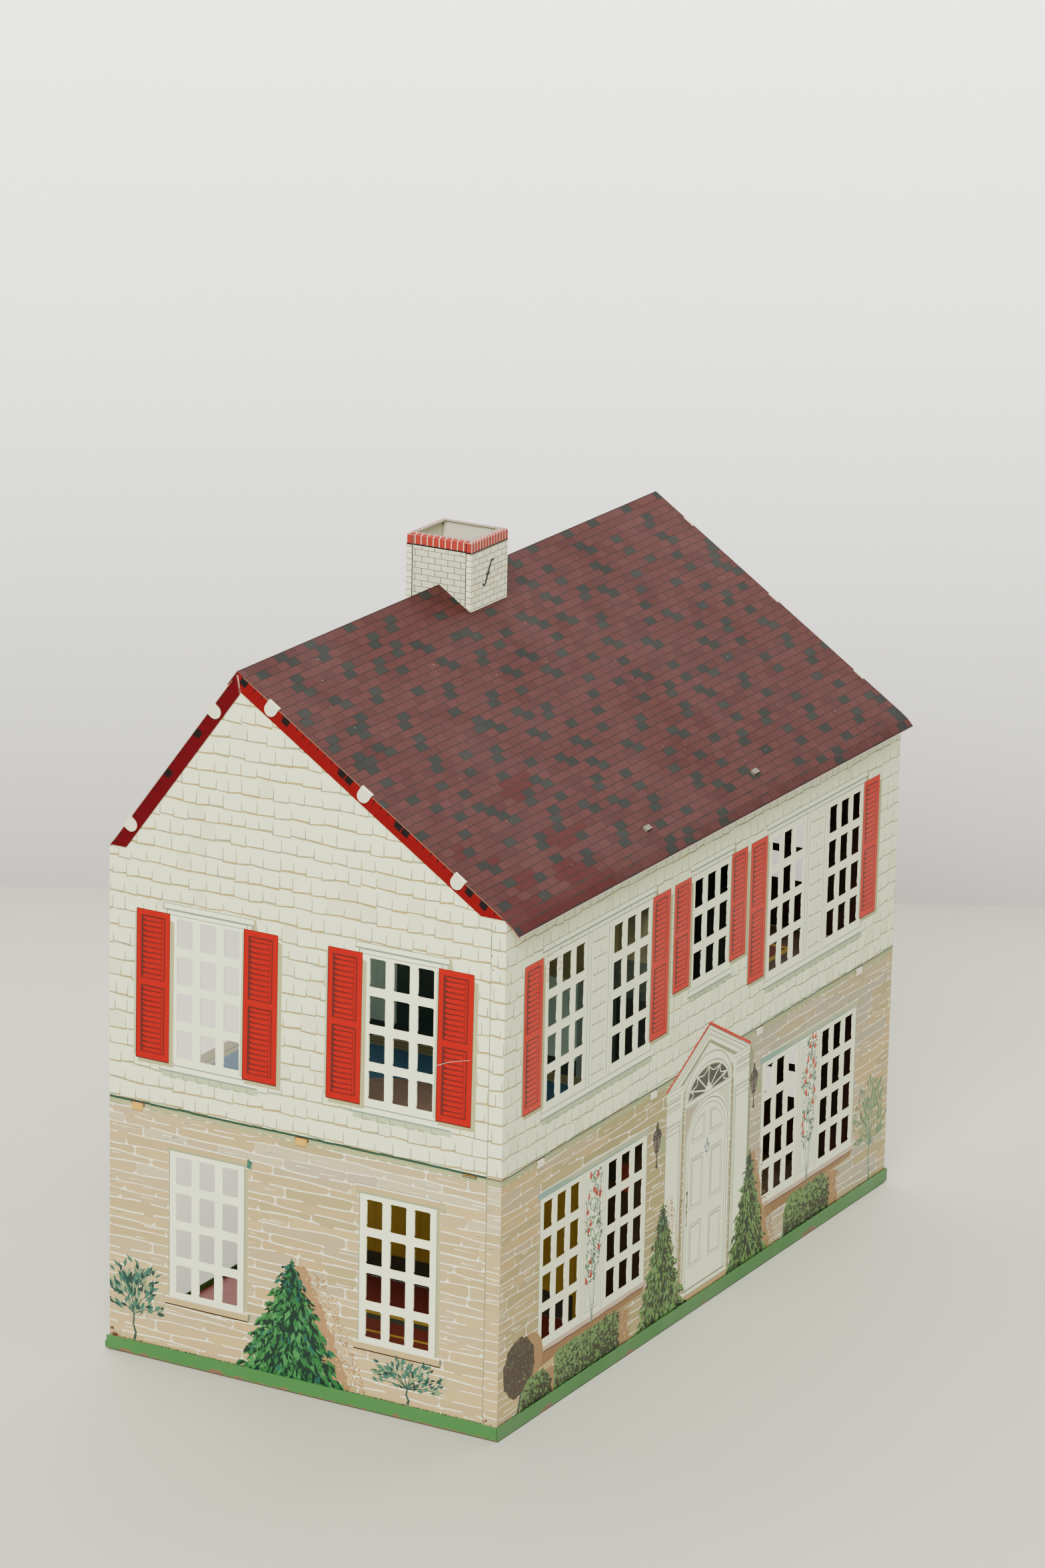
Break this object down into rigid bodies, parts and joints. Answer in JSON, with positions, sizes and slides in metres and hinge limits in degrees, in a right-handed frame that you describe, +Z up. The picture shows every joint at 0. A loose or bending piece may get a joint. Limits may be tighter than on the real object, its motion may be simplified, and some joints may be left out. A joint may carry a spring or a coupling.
{
  "type": "tin doll's house",
  "caption": "Two-storey toy house folded from printed tinplate, with punched window panes, an open back, room partitions, an offset ridge and a lift-off chimney.",
  "frame": {"origin": "middle of the overall footprint, at table height", "axes": "+Z up; -Y is the front wall with the door and +Y the open back; +X is the house's length, to the right as seen from the front"},
  "size_m": [0.385, 0.2108, 0.3522],
  "materials": {
    "grass_green": "printed grass-green enamel, satin, rusty along its edges",
    "cream_shingle": "lithographed cream shingles and white stones, satin",
    "cream_front": "lithographed cream shingles, stones, door and shutters, satin",
    "blue_carpet": "lithographed carpets and boards, satin",
    "mustard_wall": "lithographed mustard wallpaper, satin",
    "teal_wall": "lithographed dark teal wallpaper, satin",
    "maroon_tiles": "lithographed maroon roof tiles, glossy",
    "white_brick": "lithographed off-white bricks, satin"
  },
  "bodies": {
    "house": {"ground_floor": "grass_green", "front_wall": "cream_front", "left_gable": "cream_shingle", "right_gable": "cream_shingle", "upper_floor": "blue_carpet", "lower_partition": "mustard_wall", "upper_partition_left": "teal_wall", "upper_partition_right": "teal_wall", "front_roof": "maroon_tiles", "rear_roof": "maroon_tiles"},
    "chimney": {"chimney_front": "white_brick", "chimney_rear": "white_brick", "chimney_left_side": "white_brick", "chimney_right_side": "white_brick"}
  },
  "joints": [
    {"name": "chimney_lift", "type": "slide", "parent": "house", "child": "chimney", "axis": [0, 0, 1], "range_m": [0, 0.06]}
  ]
}
